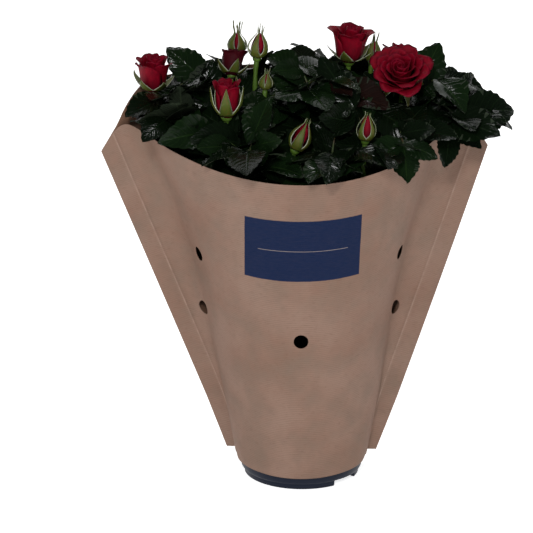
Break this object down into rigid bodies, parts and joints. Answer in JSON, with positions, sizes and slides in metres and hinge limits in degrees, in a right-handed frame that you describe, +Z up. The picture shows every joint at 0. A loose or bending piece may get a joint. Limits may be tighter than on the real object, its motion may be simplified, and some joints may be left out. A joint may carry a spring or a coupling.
{
  "type": "potted patio rose bush",
  "caption": "Miniature rose bush with dark leaves, red blooms and buds, in a small plastic nursery pot wrapped in an open-topped brown paper carry sleeve.",
  "frame": {"origin": "centre of the pot's flat underside, on the surface that it stands on", "axes": "+Z up, +Y towards the higher back panel of the sleeve, +X to the right seen from the front"},
  "size_m": [0.3084, 0.2156, 0.3537],
  "materials": {
    "pot": "satin, fine moulded texture, anthracite",
    "potting_soil": "crumbly dark peat",
    "kraft_paper": "uncoated ribbed brown kraft paper with one plain navy printed panel",
    "canes": "smooth green bark with brown patches",
    "foliage": "glossy dark green leaves, deep red petals, green buds"
  },
  "bodies": {
    "root": {"pot": "pot", "potting_soil": "potting_soil", "sleeve_front": "kraft_paper", "sleeve_back": "kraft_paper", "cane_left": "canes", "foliage_left": "foliage", "cane_front_left": "canes", "foliage_front_left": "foliage", "cane_front_right": "canes", "foliage_front_right": "foliage", "cane_right": "canes", "foliage_right": "foliage", "cane_centre": "canes", "foliage_centre": "foliage", "cane_back": "canes", "foliage_back": "foliage"}
  },
  "joints": []
}
